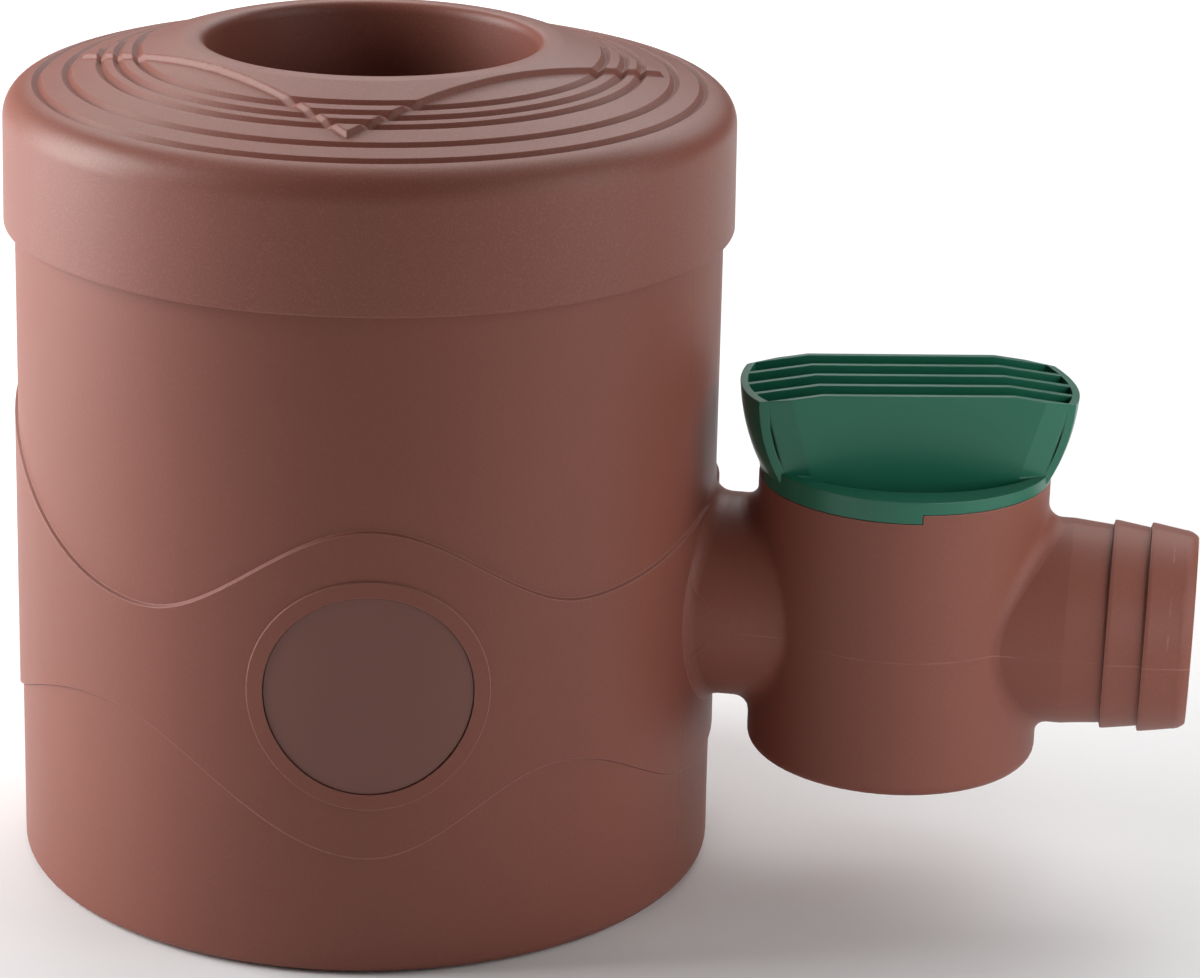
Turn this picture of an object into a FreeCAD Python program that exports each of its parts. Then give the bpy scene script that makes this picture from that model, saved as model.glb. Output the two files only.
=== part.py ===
"""Rainwater diverter for a round downpipe: housing with side outlet, lid, filter sleeve and shut-off knob."""
import FreeCAD, Part
import math
import os

import Sketcher

os.makedirs("parts", exist_ok=True)
document = FreeCAD.newDocument("diverter")

# Driving dimensions, millimetres and degrees
DIMENSIONS = [
    ("BaseRadius", 110.0, "outer radius of the housing at its foot"),
    ("Draft", 1.6, "how much narrower the housing wall is at its top edge"),
    ("RimHeight", 236.0, "top edge of the housing wall"),
    ("Wall", 3.0, "wall of the housing"),
    ("FloorThickness", 4.0, "floor of the housing"),
    ("BaseRounding", 3.0, "rounding at the foot of the housing"),
    ("SocketRadius", 50.5, "bore for the downpipe, top and bottom"),
    ("SocketDepth", 45.0, "depth of the lower pipe socket"),
    ("StopLedge", 3.0, "ledge that the lower pipe stops at"),
    ("StandpipeTop", 150.0, "overflow edge of the standpipe"),
    ("StandpipeFit", 0.1, "gap between the standpipe and the hole in the floor"),
    ("FlangeRadius", 60.0, "flange of the standpipe, on the floor of the housing"),
    ("FlangeThickness", 3.0, "thickness of the standpipe's flange"),
    ("BranchHeight", 90.1, "axis of the side outlet above the foot"),
    ("PipeRadius", 31.8, "outer radius of the side outlet"),
    ("PipeBore", 28.8, "bore of the side outlet"),
    ("NeckLength", 13.1, "from the housing's foot radius to the valve chamber"),
    ("ChamberRadius", 45.1, "outer radius of the valve chamber at its foot"),
    ("ChamberDraft", 0.4, "how much narrower the valve chamber is at its rim"),
    ("ChamberWall", 3.3, "wall of the valve chamber at its foot"),
    ("ChamberFoot", 44.6, "underside of the valve chamber"),
    ("ChamberFloor", 3.4, "floor of the valve chamber"),
    ("ChamberRim", 135.9, "top edge of the valve chamber"),
    ("ChamberRounding", 3.5, "rounding at the foot of the valve chamber"),
    ("SaddleFillet", 5.5, "fillet where the branch meets the housing and the chamber"),
    ("TailTaperStart", 52.8, "where the hose tail starts to narrow, from the chamber's axis"),
    ("TailRoot", 30.7, "radius at the foot of a barb"),
    ("BarbStart", 64.7, "steep face of the first barb, from the chamber's axis"),
    ("BarbPitch", 11.4, "distance between the barbs"),
    ("BarbCrest", 32.2, "radius of a barb's crest"),
    ("BarbLand", 1.4, "flat on a barb's crest"),
    ("TailLength", 92.2, "end of the hose tail, from the chamber's axis"),
    ("TailRounding", 5.5, "rounding of the hose tail's end"),
    ("FrontAngle", -77.4, "direction of the round disc, from the branch"),
    ("DiscHeight", 89.6, "centre of the round disc"),
    ("DiscRadius", 30.9, "seat of the round disc"),
    ("DiscGap", 0.25, "gap round the disc"),
    ("DiscThickness", 1.6, "thickness of the disc"),
    ("RingWidth", 4.7, "raised ring round the disc"),
    ("BandRelief", 1.0, "height of the wavy band above the wall"),
    ("RingRelief", 0.6, "height of the ring above the wavy band"),
    ("BandRoot", 1.5, "depth of the band's root in the wall"),
    ("BandBevel", 0.7, "slope of the band's edges"),
    ("StopDrop", 2.9, "depth of the lowered part of the chamber rim"),
    ("StopAngle", -78.0, "stop of the knob on the chamber rim"),
    ("TabAngle", 80.0, "angle of the knob's stop tab"),
    ("KnobTravelAngle", 90.0, "turn of the knob"),
    ("KnobAngle", 12.6, "direction of the grip in the open position"),
    ("KnobRimTop", 140.0, "top of the knob's rim"),
    ("KnobSetback", 0.3, "how much narrower the knob's rim is than the chamber's foot"),
    ("RunningGap", 0.3, "gap between the knob and the chamber"),
    ("BarrelWall", 2.6, "wall of the valve barrel"),
    ("BarrelNeck", 5.2, "wall of the barrel round the seal groove"),
    ("BarrelCrown", 8.0, "plate at the top of the barrel"),
    ("WindowRadius", 29.4, "water ways through the barrel"),
    ("GripTop", 165.5, "top of the grip"),
    ("GripFlare", 6.9, "how much wider the grip's top is than the knob's rim"),
    ("GripHalf", 21.5, "half thickness of the grip"),
    ("GripFoot", 137.0, "lower edge of the grip's flare"),
    ("GripFlat", 29.0, "half length of the grip's level top"),
    ("GripSlope", 2.8, "drop of the grip's top towards its ends"),
    ("GripEndLength", 48.0, "half length over which the top drops"),
    ("FinThickness", 2.0, "fins of the grip"),
    ("SlotFloor", 141.0, "floor of the slots between the fins"),
    ("EndWall", 2.3, "end walls of the grip"),
    ("RecessDepth", 5.0, "finger recesses beside the grip"),
    ("RecessReach", 35.7, "outer edge of the finger recesses"),
    ("SealSection", 1.6, "section radius of the knob's seal ring"),
    ("SealRise", 4.6, "height of the knob's seal ring above the wall over the water ways"),
    ("SealSqueeze", 0.06, "gap between the seal ring and the chamber"),
    ("SkirtFoot", 204.6, "lower edge of the lid"),
    ("SkirtWall", 3.0, "breadth of the lid's skirt at its lower edge, with the gap"),
    ("SkirtDraft", 0.5, "how much narrower the lid is below its shoulder"),
    ("LidGap", 0.3, "gap between the lid and the housing wall"),
    ("LidWall", 2.6, "thickness of the lid"),
    ("ShoulderRadius", 10.0, "rounding of the lid's shoulder"),
    ("ConeAngle", 14.6, "slope of the lid"),
    ("ConeHeight", 247.2, "height of the lid's slope at its reference radius"),
    ("ConeReference", 100.0, "reference radius of the lid's slope"),
    ("LipCrest", 260.0, "top of the lip round the inlet"),
    ("LipWidth", 7.0, "width of the rounded lip"),
    ("CollarFoot", 224.0, "lower edge of the inlet collar"),
    ("GrooveDepth", 1.4, "depth of the lid's ring grooves"),
    ("GrooveHalf", 1.6, "half width of a ring groove"),
    ("GrooveOuterShare", 0.8067, "first ring groove, as a share of the slope from the lip to the skirt"),
    ("GrooveSecondShare", 0.6398, "second ring groove, the same"),
    ("GrooveThirdShare", 0.4506, "third ring groove, the same"),
    ("GrooveFourthShare", 0.3542, "fourth ring groove, the same"),
    ("GrooveInnerShare", 0.2485, "fifth ring groove, the same"),
    ("StarTipShare", 0.5786, "tips of the raised star, the same"),
    ("StarWaistShare", 0.0575, "middle of the star's sides, the same"),
    ("StarRelief", 1.3, "height of the raised star"),
    ("StarAngle", 8.0, "direction of the star, from the branch"),
    ("SleeveWall", 1.8, "wall of the filter sleeve"),
    ("SleeveGap", 0.3, "gap between the sleeve and the pipes it slips over"),
    ("SleeveLedge", 2.5, "thickness of the sleeve's two inner ledges"),
    ("SleeveOverlap", 12.0, "how far the sleeve reaches over the pipes"),
    ("SlotWidth", 5.0, "width of a sieve slot"),
    ("SlotCount", 28, "number of sieve slots"),
    ("SlotMargin", 7.0, "solid ring above and below the slots"),
    ("BarbSlope", 0.4, "length of a barb's steep face"),
    ("LipFlat", 2.6, "from the inlet's bore to the crest of the lip"),
    ("LipDrop", 2.8, "height of the lip's inner rounding"),
    ("LipMiddle", 0.7, "middle of the lip's inner rounding, from the bore"),
    ("LipMiddleDrop", 0.75, "middle of the lip's inner rounding, below the crest"),
    ("WindowMargin", 1.5, "wall above the barrel's water ways"),
    ("BarrelStep", 2.6, "height over which the barrel's wall thickens"),
    ("SealPlay", 0.2, "play of the seal ring in its groove"),
    ("StopPlayAngle", 0.4, "play of the stop tab, degrees"),
    ("BarrelPlay", 1.0, "gap under the barrel"),
    ("FacetAngle", 14.0, "turn of the facets at the grip's corners"),
    ("FacetLeanAngle", 16.0, "lean of the facets' folds"),
    ("FacetInset", 6.9, "fold of a facet at the grip's top, from the grip's largest radius"),
    ("Reach", 5.0, "how far a cutting shape reaches past what it cuts"),
]

# Turning points of the wavy band's edges: direction from the branch and height from the disc's centre
BAND_TOP = [(-180, 60.4), (-115, 19.4), (-77.4, 50.2), (-41, 22.6), (5, 34.4), (50, 22.6),
            (102.6, 50.2), (140, 22.6)]
BAND_BOTTOM = [(-175, -39.6), (-122, -14.1), (-77.4, -51.3), (-47, -26.9), (-12, -49.1),
               (12, -49.1), (50, -26.9), (102.6, -51.3), (145, -19.6)]
WAVE_STEPS = 72
# Middle of a rounding's arc, as a share of its radius from the corner that it rounds
QUARTER = 1 - math.sqrt(0.5)
RIGHT_ANGLE = 90
# Share of the way from the star's straight side to its waist where the side bends
STAR_BEND = 0.83
STAR_CORNERS = 16
BARBS = 2
FINS = 5
# Middle of the bowl's flare: share of its height and of its spread
FLARE_HEIGHT = 0.47
FLARE_SPREAD = 0.72
# How closely a face must match to count as part of the branch
NEAR = 0.01
OUTER_GROOVES = ["GrooveOuterShare", "GrooveSecondShare"]
STAR_GROOVES = ["GrooveThirdShare", "GrooveFourthShare", "GrooveInnerShare"]

sheet = document.addObject("Spreadsheet::Sheet", "Sizes")
for row, (alias, value, note) in enumerate(DIMENSIONS, start=1):
    sheet.set(f"A{row}", note)
    sheet.set(f"B{row}", str(value))
    sheet.setAlias(f"B{row}", alias)
document.recompute()


class Size:
    """A length that carries its formula for the sheet and its value."""

    def __init__(self, text, value):
        self.text = text
        self.value = value

    def join(self, sign, other, value):
        return Size(f"({self.text} {sign} {text_of(other)})", value)

    def __add__(self, other):
        return self.join("+", other, self.value + value_of(other))

    def __sub__(self, other):
        return self.join("-", other, self.value - value_of(other))

    def __mul__(self, other):
        return self.join("*", other, self.value * value_of(other))

    def __truediv__(self, other):
        return self.join("/", other, self.value / value_of(other))

    def __neg__(self):
        return Size(f"(0 - {self.text})", -self.value)


def text_of(term):
    return term.text if isinstance(term, Size) else repr(float(term))


def value_of(term):
    return term.value if isinstance(term, Size) else float(term)


def as_size(term):
    return Size(text_of(term), value_of(term))


def size(alias):
    return Size(f"Sizes.{alias}", float(sheet.get(alias)))


def root(term):
    return Size(f"sqrt({term.text})", math.sqrt(term.value))


def slope_of(angle):
    return Size(f"tan({angle.text} * 1deg)", math.tan(math.radians(angle.value)))


def cosine_of(angle):
    return Size(f"cos({angle.text} * 1deg)", math.cos(math.radians(angle.value)))


def bind(thing, path, term):
    thing.setExpression(path, text_of(term))


def origin_plane(body, role):
    return [plane for plane in body.Origin.OriginFeatures if plane.Role == role][0]


def new_sketch(body, name, role="XZ_Plane", shift_x=None, shift_y=None, lift=None):
    """A sketch on one of the body's own planes, moved to where its own axes are wanted."""
    sketch = body.newObject("Sketcher::SketchObject", name)
    sketch.AttachmentSupport = [(origin_plane(body, role), "")]
    sketch.MapMode = "FlatFace"
    for path, term in (("x", shift_x), ("y", shift_y), ("z", lift)):
        if term is not None:
            bind(sketch, f"AttachmentOffset.Base.{path}", term)
    return sketch


def pin_point(sketch, geometry, end, place, tag):
    """Holds one end of a line or arc at a place given by two sizes."""
    for axis, term, kind in (("x", place[0], "DistanceX"), ("y", place[1], "DistanceY")):
        if isinstance(term, Size) or value_of(term) != 0.0:
            number = sketch.addConstraint(
                Sketcher.Constraint(kind, -1, 1, geometry, end, value_of(term)))
            sketch.renameConstraint(number, f"{tag}{axis}")
            bind(sketch, f"Constraints.{tag}{axis}", term)
        else:
            line = -2 if axis == "x" else -1
            sketch.addConstraint(Sketcher.Constraint("PointOnObject", geometry, end, line))


def outline(sketch, places, tag="P"):
    """A closed outline. A place is (x, y), or (x, y, middle x, middle y) for an arc that ends there."""
    count = len(places)
    points = [FreeCAD.Vector(value_of(p[0]), value_of(p[1]), 0) for p in places]
    pieces = []
    for index in range(count):
        start, end = points[index - 1], points[index]
        place = places[index]
        if len(place) == 4:
            middle = FreeCAD.Vector(value_of(place[2]), value_of(place[3]), 0)
            if (middle - start).cross(end - middle).z < 0:
                start, end = end, start
            pieces.append(sketch.addGeometry(Part.Arc(start, middle, end), False))
        else:
            pieces.append(sketch.addGeometry(Part.LineSegment(start, end), False))
    for index, place in enumerate(places):
        piece, following = pieces[index], pieces[(index + 1) % count]
        end = arc_end(sketch, piece, points[index])
        start = arc_end(sketch, following, points[index])
        sketch.addConstraint(Sketcher.Constraint("Coincident", piece, end, following, start))
        pin_point(sketch, piece, end, place[:2], f"{tag}{index}")
    for index, place in enumerate(places):
        if len(place) == 4:
            hold_arc(sketch, pieces[index], places[index - 1], place, f"{tag}{index}")
    return pieces


def arc_end(sketch, piece, point):
    """Which end of a piece lies at a point: 1 for its start, 2 for its end."""
    geometry = sketch.Geometry[piece]
    start = geometry.StartPoint
    end = geometry.EndPoint
    return 1 if start.distanceToPoint(point) < end.distanceToPoint(point) else 2


def hold_arc(sketch, piece, before, place, tag):
    """Gives an arc its radius, worked out from its two ends and its middle."""
    start_x, start_y = as_size(before[0]), as_size(before[1])
    end_x, end_y, middle_x, middle_y = [as_size(term) for term in place]
    half_x = (end_x - start_x) / 2
    half_y = (end_y - start_y) / 2
    rise_x = middle_x - (start_x + end_x) / 2
    rise_y = middle_y - (start_y + end_y) / 2
    half_squared = half_x * half_x + half_y * half_y
    rise = root(rise_x * rise_x + rise_y * rise_y)
    radius = (half_squared / rise + rise) / 2
    number = sketch.addConstraint(Sketcher.Constraint("Radius", piece, radius.value))
    sketch.renameConstraint(number, f"{tag}radius")
    bind(sketch, f"Constraints.{tag}radius", radius)


def turned(body, name, sketch, axis="V_Axis", cut=False, angle=None):
    """A profile turned about one of its sketch's own axes, added or taken away."""
    feature = body.newObject("PartDesign::Groove" if cut else "PartDesign::Revolution", name)
    feature.Profile = sketch
    feature.ReferenceAxis = (sketch, [axis])
    feature.Angle = 360.0
    if angle is not None:
        bind(feature, "Angle", angle)
    sketch.Visibility = False
    return feature


# Sizes that several pieces share
base_radius = size("BaseRadius")
top_radius = base_radius - size("Draft")
rim_height = size("RimHeight")
wall = size("Wall")
socket_radius = size("SocketRadius")
standpipe_outer = socket_radius + wall
pipe_stop = socket_radius - size("StopLedge")
floor_hole = standpipe_outer + size("StandpipeFit")
floor_top = size("FloorThickness")
branch_height = size("BranchHeight")
pipe_radius = size("PipeRadius")
pipe_bore = size("PipeBore")
chamber_radius = size("ChamberRadius")
chamber_offset = base_radius + size("NeckLength") + chamber_radius
chamber_bore = chamber_radius - size("ChamberWall")
chamber_rim = size("ChamberRim")
tail_end = chamber_offset + size("TailLength")
knob_radius = chamber_radius - size("KnobSetback")
grip_radius = knob_radius + size("GripFlare")
window_top = branch_height + size("WindowRadius") + size("WindowMargin")
seal_height = window_top + size("SealRise")
lip_outer = socket_radius + size("LipWidth")
taper = size("Draft") / rim_height


def wall_radius(height):
    """Outer radius of the housing wall at a height."""
    return base_radius - taper * height


inner_skirt = wall_radius(size("SkirtFoot")) + size("LidGap")
skirt_foot = wall_radius(size("SkirtFoot")) + size("LidGap") + size("SkirtWall")
skirt_top = skirt_foot - size("SkirtDraft")


def housing_outside(body):
    """The solid of revolution inside the housing's outer skin, bored for the standpipe."""
    foot = size("BaseRounding")
    sketch = new_sketch(body, "HousingOutside")
    outline(sketch, [
        (floor_hole, 0),
        (base_radius - foot, 0),
        (base_radius, foot, base_radius - foot * QUARTER, foot * QUARTER),
        (top_radius, rim_height),
        (floor_hole, rim_height),
    ])
    return turned(body, "HousingTurn", sketch)


def branch_outside(body):
    """Neck, outlet and barbed hose tail, turned about the branch axis."""
    sketch = new_sketch(body, "BranchOutside", shift_y=branch_height)
    inside = wall_radius(branch_height) - wall - size("Reach")
    round_off = size("TailRounding")
    tail_root = size("TailRoot")
    crest = size("BarbCrest")
    land = size("BarbLand")
    places = [(inside, 0), (inside, pipe_radius), (chamber_offset + size("TailTaperStart"), pipe_radius)]
    for barb in range(BARBS):
        face = chamber_offset + size("BarbStart") + size("BarbPitch") * barb
        places += [(face, tail_root), (face + size("BarbSlope"), crest), (face + land, crest)]
    places += [
        (tail_end - round_off, tail_root),
        (tail_end, tail_root - round_off, tail_end - round_off * QUARTER, tail_root - round_off * QUARTER),
        (tail_end, 0),
    ]
    outline(sketch, places)
    return turned(body, "BranchTurn", sketch, axis="H_Axis")


def chamber_outside(body):
    """The upright valve chamber, turned about its own axis."""
    foot = size("ChamberFoot")
    rounding = size("ChamberRounding")
    radius = chamber_radius
    sketch = new_sketch(body, "ChamberOutside", shift_x=chamber_offset)
    outline(sketch, [
        (0, foot),
        (radius - rounding, foot),
        (radius, foot + rounding, radius - rounding * QUARTER, foot + rounding * QUARTER),
        (radius - size("ChamberDraft"), chamber_rim),
        (0, chamber_rim),
    ])
    return turned(body, "ChamberTurn", sketch)


def is_branch_face(face):
    """True for the cylinder of the neck or of the outlet pipe."""
    surface = face.Surface
    return (isinstance(surface, Part.Cylinder) and abs(surface.Radius - pipe_radius.value) < NEAR
            and abs(surface.Axis.x) > 1 - NEAR)


def is_upright_face(face):
    """True for the cone of the housing wall or of the valve chamber."""
    return isinstance(face.Surface, Part.Cone) and abs(face.Surface.Axis.z) > 1 - NEAR


def saddle_edges(shape):
    """Edges where the branch pipe meets the housing wall or the valve chamber."""
    names = []
    for number, edge in enumerate(shape.Edges, start=1):
        faces = shape.ancestorsOfType(edge, Part.Face)
        if any(map(is_branch_face, faces)) and any(map(is_upright_face, faces)):
            names.append(f"Edge{number}")
    return names


def housing_fillets(body, base):
    document.recompute()
    fillet = body.newObject("PartDesign::Fillet", "SaddleFillets")
    fillet.Base = (base, saddle_edges(base.Shape))
    bind(fillet, "Radius", size("SaddleFillet"))
    return fillet


def water_room(body):
    """The room inside the wall, above the floor."""
    sketch = new_sketch(body, "WaterRoom")
    inner = floor_hole - size("Reach")
    outline(sketch, [
        (inner, floor_top),
        (wall_radius(floor_top) - wall, floor_top),
        (top_radius - wall, rim_height),
        (inner, rim_height),
    ])
    return turned(body, "WaterRoomCut", sketch, cut=True)


def valve_room(body):
    """The bore of the valve chamber."""
    sketch = new_sketch(body, "ValveRoom", shift_x=chamber_offset)
    floor = size("ChamberFoot") + size("ChamberFloor")
    outline(sketch, [(0, floor), (chamber_bore, floor), (chamber_bore, chamber_rim), (0, chamber_rim)])
    return turned(body, "ValveRoomCut", sketch, cut=True)


def make_housing():
    body = document.addObject("PartDesign::Body", "Housing")
    housing_outside(body)
    branch_outside(body)
    last = chamber_outside(body)
    housing_fillets(body, last)
    water_room(body)
    valve_room(body)
    return body


def wave_height(turns, angle):
    """Height of a band edge in a direction: half cosines between its turning points."""
    closed = turns + [(turns[0][0] + 360, turns[0][1])]
    angle = (angle - closed[0][0]) % 360 + closed[0][0]
    for (start, low), (finish, high) in zip(closed, closed[1:]):
        if angle <= finish:
            return low + (high - low) * (1 - math.cos(math.pi * (angle - start) / (finish - start))) / 2
    return closed[0][1]


def wave_quarters(turns, offset, lift):
    """A closed curve round the housing wall at an offset from its outer skin, in four parts."""
    points = []
    for step in range(WAVE_STEPS):
        angle = 360 * step / WAVE_STEPS
        z = size("DiscHeight").value + wave_height(turns, angle) + lift
        radius = wall_radius(as_size(z)).value + offset
        turn = math.radians(angle)
        points.append(FreeCAD.Vector(radius * math.cos(turn), radius * math.sin(turn), z))
    curve = Part.BSplineCurve()
    curve.interpolate(Points=points, PeriodicFlag=True, Parameters=list(range(WAVE_STEPS + 1)))
    quarter = WAVE_STEPS // 4
    return [curve.toShape(quarter * part, quarter * (part + 1)) for part in range(4)]


def make_band():
    """The raised wavy band: ruled skins between wave-shaped edges on the wall."""
    relief = size("BandRelief").value
    depth = size("BandRoot").value
    spread = size("BandBevel").value * (relief + depth) / relief
    rims = [
        wave_quarters(BAND_BOTTOM, relief, 0),
        wave_quarters(BAND_TOP, relief, 0),
        wave_quarters(BAND_TOP, -depth, spread),
        wave_quarters(BAND_BOTTOM, -depth, -spread),
    ]
    faces = []
    for index, rim in enumerate(rims):
        faces += [Part.makeRuledSurface(before, after) for before, after in zip(rims[index - 1], rim)]
    shell = Part.makeShell(faces)
    shell.sewShape()
    band = document.addObject("Part::Feature", "Band")
    band.Shape = Part.makeSolid(shell)
    return band


def wall_skin(name, inner, outer, reach):
    """A slice of the housing wall's cone between two offsets from its outer skin, round the disc's height."""
    low = size("DiscHeight") - reach
    high = size("DiscHeight") + reach
    cones = []
    for tag, offset in (("Outer", outer), ("Inner", inner)):
        cone = document.addObject("Part::Cone", name + tag)
        bind(cone, "Radius1", wall_radius(low) + offset)
        bind(cone, "Radius2", wall_radius(high) + offset)
        bind(cone, "Height", high - low)
        bind(cone, "Placement.Base.z", low)
        cones.append(cone)
    skin = document.addObject("Part::Cut", name)
    skin.Base, skin.Tool = cones
    return skin


def front_rod(name, radius):
    """A rod that points from the housing axis at the disc."""
    rod = document.addObject("Part::Cylinder", name)
    bind(rod, "Radius", radius)
    bind(rod, "Height", base_radius + size("Reach"))
    bind(rod, "Placement.Base.z", size("DiscHeight"))
    tip = FreeCAD.Rotation(FreeCAD.Vector(0, 1, 0), 90)
    rod.Placement.Rotation = upright_turn(size("FrontAngle")).multiply(tip)
    return rod


def upright_turn(angle):
    """A turn about the upright axis."""
    return FreeCAD.Rotation(FreeCAD.Vector(0, 0, 1), angle.value)


def turn_about(thing, axis, angle):
    """Turns a thing about one of its own axes by an angle from the sheet."""
    thing.Placement.Rotation = FreeCAD.Rotation(axis, angle.value)
    bind(thing, "Placement.Rotation.Angle", angle)


def common(name, first, second):
    shared = document.addObject("Part::Common", name)
    shared.Base = first
    shared.Tool = second
    return shared


def cut(name, base, tool):
    result = document.addObject("Part::Cut", name)
    result.Base = base
    result.Tool = tool
    return result


def fuse(name, pieces):
    result = document.addObject("Part::MultiFuse", name)
    result.Shapes = pieces
    return result


def make_disc_ring():
    """The raised ring round the disc's seat."""
    reach = size("DiscRadius") + size("RingWidth") + size("Reach")
    skin = wall_skin("RingSkin", -size("BandRoot"), size("BandRelief") + size("RingRelief"), reach)
    rod = front_rod("RingRod", size("DiscRadius") + size("RingWidth"))
    return common("DiscRing", skin, rod)


def make_disc_seat():
    """The recess that the disc lies in."""
    reach = size("DiscRadius") + size("Reach")
    back = size("BandRelief") - size("DiscThickness")
    skin = wall_skin("SeatSkin", back, size("BandRelief") + size("RingRelief") + size("Reach"), reach)
    return common("DiscSeat", skin, front_rod("SeatRod", size("DiscRadius")))


def make_front_disc():
    """The glossy plate in its seat, following the wall's curve."""
    reach = size("DiscRadius") + size("Reach")
    back = size("BandRelief") - size("DiscThickness")
    skin = wall_skin("DiscSkin", back, size("BandRelief"), reach)
    disc = common("FrontDisc", skin, front_rod("DiscRod", size("DiscRadius") - size("DiscGap")))
    disc.Label = "front_disc"
    return disc


def make_passage():
    """The water way from the housing through the valve chamber to the hose tail."""
    passage = document.addObject("Part::Cylinder", "Passage")
    start = wall_radius(branch_height) - wall - size("Reach") * 2
    bind(passage, "Radius", pipe_bore)
    bind(passage, "Height", tail_end + size("Reach") - start)
    passage.Placement.Rotation = FreeCAD.Rotation(FreeCAD.Vector(0, 1, 0), 90)
    bind(passage, "Placement.Base.x", start)
    bind(passage, "Placement.Base.z", branch_height)
    return passage


def make_stop_sector():
    """The lowered part of the chamber rim in which the knob's tab travels."""
    sector = document.addObject("Part::Cylinder", "StopSector")
    span = size("TabAngle") + size("KnobTravelAngle") + size("StopPlayAngle") * 2
    bind(sector, "Radius", chamber_radius + size("Reach"))
    bind(sector, "Height", size("StopDrop") + size("Reach"))
    bind(sector, "Angle", span)
    turn_about(sector, FreeCAD.Vector(0, 0, 1), size("StopAngle") - span)
    bind(sector, "Placement.Base.x", chamber_offset)
    bind(sector, "Placement.Base.z", chamber_rim - size("StopDrop"))
    return sector


def make_body():
    raised = fuse("RaisedHousing", [make_housing(), make_band(), make_disc_ring()])
    tools = fuse("HousingCuts", [make_passage(), make_stop_sector(), make_disc_seat()])
    body = cut("DiverterBody", raised, tools)
    body.Label = "body"
    return body


def on_slope(alias):
    """Radius of a share of the lid's slope, counted from the lip to the skirt."""
    return lip_outer + (skirt_top - lip_outer) * size(alias)


def cone_height(radius):
    """Height of the lid's slope at a radius."""
    return size("ConeHeight") + (size("ConeReference") - radius) * slope_of(size("ConeAngle"))


def lid_profile(body):
    """Skirt, shoulder, slope, rounded lip and inlet collar in one moulded wall."""
    sketch = new_sketch(body, "LidProfile")
    lid_wall = size("LidWall")
    rounding = size("ShoulderRadius")
    crest = size("LipCrest")
    # the shoulder's arc touches the upright skirt and the slope
    centre_r = skirt_top - rounding
    centre_z = cone_height(centre_r) - rounding / cosine_of(size("ConeAngle"))
    sine = slope_of(size("ConeAngle")) * cosine_of(size("ConeAngle"))
    touch_r = centre_r + rounding * sine
    touch_z = centre_z + rounding * cosine_of(size("ConeAngle"))
    half = (RIGHT_ANGLE - size("ConeAngle").value) / 2
    middle_r = centre_r + rounding * math.cos(math.radians(half))
    middle_z = centre_z + rounding * math.sin(math.radians(half))
    under = lid_wall / cosine_of(size("ConeAngle"))
    seat_r = top_radius - wall
    outline(sketch, [
        (inner_skirt, size("SkirtFoot")),
        (skirt_foot, size("SkirtFoot")),
        (skirt_top, centre_z),
        (touch_r, touch_z, middle_r, middle_z),
        (lip_outer, cone_height(lip_outer)),
        (lip_outer, cone_height(lip_outer) + size("StarRelief")),
        (socket_radius + size("LipFlat"), crest),
        (socket_radius, crest - size("LipDrop"),
         socket_radius + size("LipMiddle"), crest - size("LipMiddleDrop")),
        (socket_radius, size("CollarFoot")),
        (standpipe_outer, size("CollarFoot")),
        (standpipe_outer, cone_height(standpipe_outer) - under),
        (seat_r, cone_height(seat_r) - under),
        (seat_r, rim_height),
        (inner_skirt, rim_height),
    ])
    return turned(body, "LidTurn", sketch)


def groove_triangle(alias, lift):
    """Section of a ring groove whose bottom lies its depth below a level above the slope."""
    radius = on_slope(alias)
    depth = size("GrooveDepth")
    reach = size("GrooveHalf") * 2
    mouth = cone_height(radius) + lift + depth
    return [(radius, cone_height(radius) + lift - depth), (radius + reach, mouth), (radius - reach, mouth)]


def ring_grooves(body):
    """Five V-shaped ring grooves in the slope."""
    sketch = new_sketch(body, "RingGrooves")
    for alias in OUTER_GROOVES + STAR_GROOVES:
        outline(sketch, groove_triangle(alias, 0), tag=alias)
    return turned(body, "RingGrooveCut", sketch, cut=True)


def star_groove(alias):
    """The ring that a groove leaves empty where it crosses the raised star."""
    body = document.addObject("PartDesign::Body", alias + "OnStar")
    sketch = new_sketch(body, alias + "OnStarProfile")
    outline(sketch, groove_triangle(alias, size("StarRelief")))
    turned(body, alias + "OnStarAngle", sketch)
    return body


def make_star_prism():
    """A four-pointed star as tall as the lid's slope, each hollow side bent in four flats."""
    body = document.addObject("PartDesign::Body", "StarPrism")
    tip = on_slope("StarTipShare")
    waist = on_slope("StarWaistShare")
    low = cone_height(tip) - size("Reach") * 4
    sketch = new_sketch(body, "StarOutline", role="XY_Plane", lift=low)
    flat = tip * math.sqrt(0.5)
    step_angle = 2 * math.pi / STAR_CORNERS
    bend = (flat - (flat - waist) * STAR_BEND) / math.cos(step_angle)
    radii = [tip, bend, waist, bend]
    corners = []
    for step in range(STAR_CORNERS):
        angle = step_angle * step
        radius = radii[step % len(radii)]
        corners.append((radius * round(math.cos(angle), 9), radius * round(math.sin(angle), 9)))
    outline(sketch, corners)
    pad = body.newObject("PartDesign::Pad", "StarPad")
    pad.Profile = sketch
    bind(pad, "Length", size("LipCrest") + size("Reach") - low)
    turn_about(body, FreeCAD.Vector(0, 0, 1), size("StarAngle"))
    return body


def make_star_layer():
    """A layer on the slope, rooted below the ring grooves of the lid."""
    body = document.addObject("PartDesign::Body", "StarLayer")
    sketch = new_sketch(body, "StarLayerProfile")
    inner = lip_outer
    outer = on_slope("StarTipShare") + size("Reach")
    low = -size("StarRelief") * 1.3
    outline(sketch, [
        (inner, cone_height(inner) + low),
        (outer, cone_height(outer) + low),
        (outer, cone_height(outer) + size("StarRelief")),
        (inner, cone_height(inner) + size("StarRelief")),
    ])
    turned(body, "StarLayerTurn", sketch)
    return body


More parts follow.
